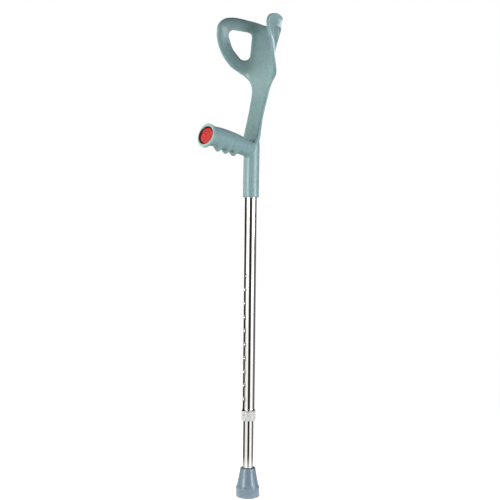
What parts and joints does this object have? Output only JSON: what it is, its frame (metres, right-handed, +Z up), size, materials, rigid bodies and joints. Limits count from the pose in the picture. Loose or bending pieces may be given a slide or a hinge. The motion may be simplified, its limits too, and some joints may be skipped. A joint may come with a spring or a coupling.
{
  "type": "forearm crutch",
  "caption": "Height-adjustable forearm crutch: moulded cuff and hand grip on telescoping polished tubes with a row of holes, a snap button, a collar and a rubber foot.",
  "frame": {"origin": "centre of the rubber foot's base, on the axis of the tubes, at the shortest setting", "axes": "+Z up along the tubes, -X forward along the hand grip, Y across the cuff"},
  "size_m": [0.1754, 0.1322, 0.8873],
  "materials": {
    "sage_plastic": "moulded plastic with a soft sheen, grey-green",
    "pale_green_plastic": "moulded plastic, pale green",
    "red_lens": "clear red plastic with small prisms",
    "grey_backing": "grey plastic plate",
    "polished_aluminium": "polished",
    "spring_steel": "bright",
    "white_nylon": "milky white nylon",
    "blue_grey_rubber": "moulded rubber, blue-grey"
  },
  "bodies": {
    "handle": {"handle_body": "sage_plastic", "grip_end_cap": "pale_green_plastic", "reflector_back": "grey_backing", "reflector_lens": "red_lens", "handle_screw": "spring_steel", "upper_tube": "polished_aluminium", "guide_bush": "white_nylon"},
    "lower_leg": {"lower_tube": "polished_aluminium", "button_spring": "spring_steel", "ferrule": "blue_grey_rubber", "ferrule_washer": "spring_steel"},
    "snap_button": {"snap_button": "spring_steel"},
    "collar": {"collar_nut": "white_nylon"}
  },
  "joints": [
    {"name": "height_slide", "type": "slide", "parent": "lower_leg", "child": "handle", "axis": [0, 0, 1], "range_m": [0, 0.2286], "deforming": ["snap_button", "button_spring"]},
    {"name": "button_press", "type": "slide", "parent": "lower_leg", "child": "snap_button", "axis": [1, 0, 0], "range_m": [0, 0.0034], "stiffness_N_per_m": 1500, "deforming": ["button_spring"]},
    {"name": "collar_turn", "type": "hinge", "parent": "handle", "child": "collar", "pos_m": [0, 0, 0.1434], "axis": [0, 0, -1], "range_deg": [0, 120]}
  ]
}
